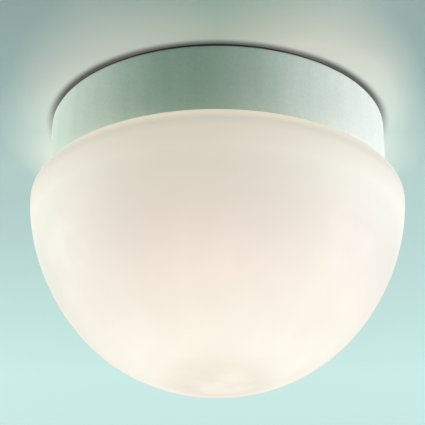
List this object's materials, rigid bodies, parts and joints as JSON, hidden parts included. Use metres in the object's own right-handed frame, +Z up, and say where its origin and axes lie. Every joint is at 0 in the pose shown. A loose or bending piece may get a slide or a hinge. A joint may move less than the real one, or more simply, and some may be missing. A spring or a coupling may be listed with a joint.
{
  "type": "ceiling light",
  "caption": "Flush ceiling light: a shallow round steel housing, a deep opal glass shade that drops off its spring clips, and a screw-in lamp in a porcelain holder.",
  "frame": {"origin": "centre of the mounting strap's flat top face, in the plane of the ceiling, on the axis of the housing, the shade and the lamp", "axes": "+Z points up into the ceiling, +X runs along the mounting strap, +Y runs along the lampholder's bracket, away from the picture's viewer"},
  "size_m": [0.25, 0.25, 0.185],
  "materials": {
    "zinc plated steel": "zinc plate, dull",
    "nickel plate": "nickel plate, semi-bright",
    "seal foam": "closed-cell foam, matt black",
    "satin paint": "pale silver-green paint, satin",
    "grommet rubber": "matt black",
    "terminal nylon": "off-white nylon",
    "brass": "plain brass",
    "brown sleeve": "brown insulation",
    "blue sleeve": "blue insulation",
    "green and yellow sleeve": "green insulation with a yellow stripe",
    "porcelain": "glazed white porcelain, opaque",
    "spring steel": "bare spring steel",
    "opal glass": "opal glass with a satin surface, opaque to sight",
    "silicone": "translucent white silicone, matt",
    "lamp cap metal": "plain aluminium",
    "black glass": "black moulded glass, gloss",
    "frosted glass": "inside-frosted glass",
    "stem glass": "clear glass",
    "tungsten": "dull grey metal wire"
  },
  "bodies": {
    "housing": {"mounting_strap": "zinc plated steel", "strap_stud_1": "zinc plated steel", "strap_stud_2": "zinc plated steel", "earth_stud": "zinc plated steel", "lampholder_bracket": "zinc plated steel", "cap_nut_1": "nickel plate", "cap_nut_2": "nickel plate", "terminal_screw_1": "nickel plate", "terminal_screw_2": "nickel plate", "terminal_screw_3": "nickel plate", "terminal_screw_4": "nickel plate", "terminal_screw_5": "nickel plate", "terminal_screw_6": "nickel plate", "block_screw": "nickel plate", "earth_washer": "nickel plate", "bracket_screw_1": "nickel plate", "bracket_screw_2": "nickel plate", "holder_screw_1": "nickel plate", "holder_screw_2": "nickel plate", "holder_terminal_screw_1": "nickel plate", "holder_terminal_screw_2": "nickel plate", "clip_rivet_1": "nickel plate", "clip_rivet_2": "nickel plate", "clip_rivet_3": "nickel plate", "ceiling_seal": "seal foam", "drum_housing": "satin paint", "cable_grommet": "grommet rubber", "terminal_block": "terminal nylon", "terminal_insert_1": "brass", "terminal_insert_2": "brass", "terminal_insert_3": "brass", "earth_lug": "brass", "earth_nut": "brass", "holder_terminal_1": "brass", "holder_terminal_2": "brass", "screw_shell": "brass", "centre_contact": "brass", "contact_rivet": "brass", "lead_live": "brown sleeve", "lead_neutral": "blue sleeve", "lead_earth": "green and yellow sleeve", "lampholder_body": "porcelain", "spring_clip_1": "spring steel", "spring_clip_2": "spring steel", "spring_clip_3": "spring steel"},
    "shade": {"glass_shade": "opal glass", "shade_ring": "silicone"},
    "lamp_carriage": {"lamp_contact_tip": "brass"},
    "lamp": {"lamp_envelope": "frosted glass", "lamp_screw_cap": "lamp cap metal", "lamp_insulator": "black glass", "lamp_stem": "stem glass", "lamp_support_1": "nickel plate", "lamp_support_2": "nickel plate", "lamp_filament": "tungsten"}
  },
  "joints": [
    {"name": "shade_drop", "type": "slide", "parent": "housing", "child": "shade", "axis": [0, 0, -1], "range_m": [0, 0.14], "deforming": ["spring_clip_1", "spring_clip_2", "spring_clip_3"]},
    {"name": "lamp_travel", "type": "slide", "parent": "housing", "child": "lamp_carriage", "axis": [0, 0, -1], "range_m": [0, 0.01633]},
    {"name": "lamp_spin", "type": "hinge", "parent": "lamp_carriage", "child": "lamp", "pos_m": [0, 0, -0.045], "axis": [0, 0, -1], "range_deg": [0, 1620]}
  ],
  "couplings": [
    {"joint": "lamp_spin", "follows": "lamp_travel", "rad_per_m": 1731.4}
  ]
}
